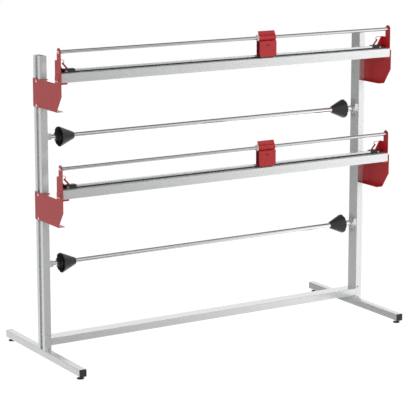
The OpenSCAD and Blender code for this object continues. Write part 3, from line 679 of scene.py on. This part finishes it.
class STAND_OT_red_sheets(StandOperator, bpy.types.Operator):
    """Red powder coat on brackets, towers and carriages"""

    bl_idname = "stand.red_sheets"
    bl_label = "Red sheets"

    def make(self, scene):
        finishes = scene.stand_finishes
        dress(nodes_in("red_paint"), powder_coat("red_coat", finishes.red, 0.0, 0.24))
        dress(nodes_in("carriage_red"), powder_coat("carriage_coat", finishes.carriage_red, 0.0, 0.24))
        # The clamp screws' red coat is darkened as painted shade, so each head shows as a dark dot on the
        # carriage
        dress(nodes_in("screw_red"), powder_coat("screw_coat_painted_shade", finishes.screw_red, 0.0, 0.30))


class STAND_OT_bright_bars(StandOperator, bpy.types.Operator):
    """Ground finish on guide rods and axles"""

    bl_idname = "stand.bright_bars"
    bl_label = "Rods and axles"

    def make(self, scene):
        finishes = scene.stand_finishes
        dress([f"{unit}_guide_rod" for unit in UNITS], ground_bar("rod_steel", finishes.rod_steel, "x"))
        dress([f"{unit}_axle" for unit in UNITS], ground_bar("axle_steel", finishes.axle_steel, "x"))


class STAND_OT_fasteners(StandOperator, bpy.types.Operator):
    """Zinc plate on screws, nuts and cradles, and ground steel on the blades"""

    bl_idname = "stand.fasteners"
    bl_label = "Screws, cradles and blades"

    def make(self, scene):
        finishes = scene.stand_finishes
        dress(nodes_in("zinc_steel"), zinc_plate("zinc_plate", finishes.zinc))
        dress(nodes_in("blade_steel"), blade_steel("blade_steel", finishes.blade_dark, finishes.blade_bright))


class STAND_OT_mouldings(StandOperator, bpy.types.Operator):
    """Black mouldings, black screws and nylon bushes"""

    bl_idname = "stand.mouldings"
    bl_label = "Mouldings"

    def make(self, scene):
        finishes = scene.stand_finishes
        dress(nodes_in("black_plastic"), moulding("black_moulding", finishes.black, 0.42, 0.0012))
        dress(nodes_in("white_nylon"), moulding("nylon", finishes.nylon, 0.40, 0.0009))
        dress(nodes_in("black_steel"), moulding("black_oxide", tint(finishes.black, 1.2), 0.34, 0.0006))


class STAND_OT_lips(StandOperator, bpy.types.Operator):
    """Rubber lips under the hold-down bars"""

    bl_idname = "stand.lips"
    bl_label = "Rubber lips"

    def make(self, scene):
        material = rubber("lip_rubber", scene.stand_finishes.rubber)
        for node in nodes_in("black_rubber"):
            lip_strip(node, scene.stand_trim, material)


class STAND_OT_thumbscrews(StandOperator, bpy.types.Operator):
    """Knurled thumbscrews in the cones"""

    bl_idname = "stand.thumbscrews"
    bl_label = "Thumbscrews"

    def make(self, scene):
        material = bpy.data.materials["black_oxide"]
        for unit in UNITS:
            for side in SIDES:
                thumbscrew(f"{unit}_{side}_cone_screw", scene.stand_trim, material)


class STAND_OT_cone_collars(StandOperator, bpy.types.Operator):
    """Collars on the axles beside the cones"""

    bl_idname = "stand.cone_collars"
    bl_label = "Cone collars"

    def make(self, scene):
        material = bpy.data.materials["black_moulding"]
        for unit in UNITS:
            for side in SIDES:
                cone_collar(unit, side, scene.stand_trim, material)


class STAND_OT_levelling_feet(StandOperator, bpy.types.Operator):
    """Threaded levelling feet"""

    bl_idname = "stand.levelling_feet"
    bl_label = "Levelling feet"

    def make(self, scene):
        material = bpy.data.materials["black_moulding"]
        for side in SIDES:
            for end in ("front", "rear"):
                levelling_foot(f"{side}_{end}_levelling_foot", scene.stand_trim, material)


def facing(n, look, towards, low, high):
    """1 where a look is towards a direction, 0 away from it, smooth between two cosines."""
    aim = Vector(towards).normalized()
    cosine = n.node("ShaderNodeVectorMath", {"operation": "DOT_PRODUCT"}, {0: look, 1: aim}, output=1)
    return cosine.above(low, high)


def direction_share(n, towards, low, high):
    """Share of the world that lies towards a direction."""
    return facing(n, n.node("ShaderNodeTexCoord"), towards, low, high)


def compass_share(n, towards, low, high):
    """Share of the world that lies towards a compass direction at any height, as a tall strip does."""
    here = n.node("ShaderNodeTexCoord")
    level = n.node("ShaderNodeVectorMath", {"operation": "MULTIPLY"}, {0: here, 1: (1.0, 1.0, 0.0)})
    compass = n.node("ShaderNodeVectorMath", {"operation": "NORMALIZE"}, {0: level})
    return facing(n, compass, (*towards, 0.0), low, high)


def backdrop(n, tone, strength):
    """One colour of the world at a brightness."""
    return n.node("ShaderNodeBackground", sockets={"Color": tone, "Strength": strength})


def studio_world(studio):
    """World of the studio.

    The camera sees white, surfaces get even light, and reflections see walls, softboxes, floor and ceiling.
    """
    world = bpy.data.worlds.new("studio")
    world.use_nodes = True
    bpy.context.scene.world = world
    n = NodeSet(world.node_tree)
    path = n.add("ShaderNodeLightPath")
    camera = Wire(n, path.outputs["Is Camera Ray"])
    glossy = Wire(n, path.outputs["Is Glossy Ray"])
    clear = Wire(n, path.outputs["Is Transmission Ray"])
    above_box = direction_share(n, UP, 0.02, 0.30)
    below_box = direction_share(n, DOWN, 0.34, 0.50)
    box = compass_share(n, (0.71, -0.70), 0.955, 1.003) * (1.0 - above_box) * (1.0 - below_box)
    overhead = direction_share(n, (0.30, -0.70, 0.65), 0.72, 0.95)
    back = direction_share(n, (0.25, 1.0, 0.0), -0.35, 0.55)
    ground = direction_share(n, DOWN, 0.25, 0.65)
    side = direction_share(n, (-0.80, -0.60, 0.0), 0.15, 0.75)
    left = direction_share(n, (-0.80, 0.60, 0.0), 0.80, 0.99)
    ceiling = direction_share(n, (0.0, 0.15, 1.0), 0.45, 0.85)
    front = studio.wall + box * studio.softbox + overhead * studio.overhead
    room = front + side * studio.side_wall + back * studio.back_wall + ground * studio.floor_glow
    seen = room * (1.0 - left * studio.left_shade) * (1.0 - ceiling * studio.ceiling_shade)
    ambient = backdrop(n, (*studio.ambient_tone, 1.0), studio.ambient)
    lit = n.mix(glossy, ambient, backdrop(n, WHITE, seen))
    shown = n.mix(camera.larger(clear), lit, backdrop(n, WHITE, 1.0))
    n.add("ShaderNodeOutputWorld", sockets={0: shown})


def matt(n, level):
    """A matt grey surface."""
    return n.node("ShaderNodeBsdfDiffuse", sockets={"Color": (level, level, level, 1.0)})


def floor_piece(studio):
    """Pale floor: a square just below the feet.

    The camera sees white with the stand's shadow, the stand is lit by a plain grey, and no reflection sees it.
    """
    half = studio.floor_half
    corners = [(-half, -half, 0), (half, -half, 0), (half, half, 0), (-half, half, 0)]
    mesh = bpy.data.meshes.new("floor")
    mesh.from_pydata(corners, [], [(0, 1, 2, 3)])
    floor = new_object("floor", mesh)
    floor.location.z = -studio.floor_drop
    floor.visible_glossy = False
    material = bpy.data.materials.new("floor_white")
    material.use_nodes = True
    n = NodeSet(material.node_tree)
    camera = n.node("ShaderNodeLightPath", output="Is Camera Ray")
    keep = studio.floor_shade
    glow = n.node("ShaderNodeEmission", sockets={"Color": WHITE, "Strength": 1.0 - keep * studio.ambient})
    white = n.node("ShaderNodeAddShader", sockets={0: matt(n, keep), 1: glow})
    seen = n.mix(camera, matt(n, studio.floor_grey), white)
    n.add("ShaderNodeOutputMaterial", sockets={0: seen})
    mesh.materials.append(material)


def softbox(name, where, target, size, power):
    """A large square lamp that faces a point."""
    lamp = bpy.data.lights.new(name, "AREA")
    lamp.shape = "SQUARE"
    lamp.size = size
    lamp.energy = power
    holder = new_object(name, lamp)
    holder.location = where
    holder.rotation_euler = (Vector(target) - Vector(where)).to_track_quat("-Z", "Y").to_euler()
    holder.visible_glossy = False


def studio_camera(studio):
    """The camera, turned and tilted as the view asks."""
    data = bpy.data.cameras.new("camera")
    data.sensor_width = 36.0
    data.lens = studio.lens
    data.shift_y = studio.shift
    data.clip_end = 200.0
    camera = new_object("camera", data)
    camera.location = studio.camera_place
    camera.rotation_euler = Euler((math.pi / 2 - studio.camera_pitch, 0.0, -studio.camera_turn))
    bpy.context.scene.camera = camera


class STAND_OT_stage(StandOperator, bpy.types.Operator):
    """Floor, lamps, backdrop and camera"""

    bl_idname = "stand.stage"
    bl_label = "Studio"

    def make(self, scene):
        studio = scene.stand_studio
        scene.view_settings.view_transform = "Standard"
        studio_camera(studio)
        studio_world(studio)
        floor_piece(studio)
        softbox("key_softbox", studio.key_place, studio.aim, studio.key_size, studio.key)
        softbox("fill_softbox", studio.fill_place, studio.aim, studio.fill_size, studio.fill)


class STAND_PT_panel(bpy.types.Panel):
    """The stand's pieces and studio"""

    bl_label = "Roll cutting stand"
    bl_idname = "STAND_PT_panel"
    bl_space_type = "VIEW_3D"
    bl_region_type = "UI"
    bl_category = "Stand"

    def draw(self, context):
        layout = self.layout
        for operator in OPERATORS:
            layout.operator(operator.bl_idname)
        for group in GROUPS:
            box = layout.box()
            values = getattr(context.scene, group)
            for key in values.bl_rna.properties.keys():
                if key not in ("rna_type", "name"):
                    box.prop(values, key)


GROUPS = {"stand_finishes": StandFinishes, "stand_trim": StandTrim, "stand_studio": StandStudio}
OPERATORS = (
    STAND_OT_profiles, STAND_OT_feet, STAND_OT_red_sheets, STAND_OT_bright_bars, STAND_OT_fasteners,
    STAND_OT_mouldings, STAND_OT_lips, STAND_OT_thumbscrews, STAND_OT_cone_collars,
    STAND_OT_levelling_feet, STAND_OT_stage,
)
CLASSES = (*GROUPS.values(), *OPERATORS, STAND_PT_panel)


def register():
    for cls in CLASSES:
        bpy.utils.register_class(cls)
    for name, group in GROUPS.items():
        setattr(bpy.types.Scene, name, PointerProperty(type=group))


def unregister():
    for name in GROUPS:
        delattr(bpy.types.Scene, name)
    for cls in reversed(CLASSES):
        bpy.utils.unregister_class(cls)


def main():
    register()
    for operator in OPERATORS:
        family, name = operator.bl_idname.split(".")
        getattr(getattr(bpy.ops, family), name)()


if __name__ == "__main__":
    main()
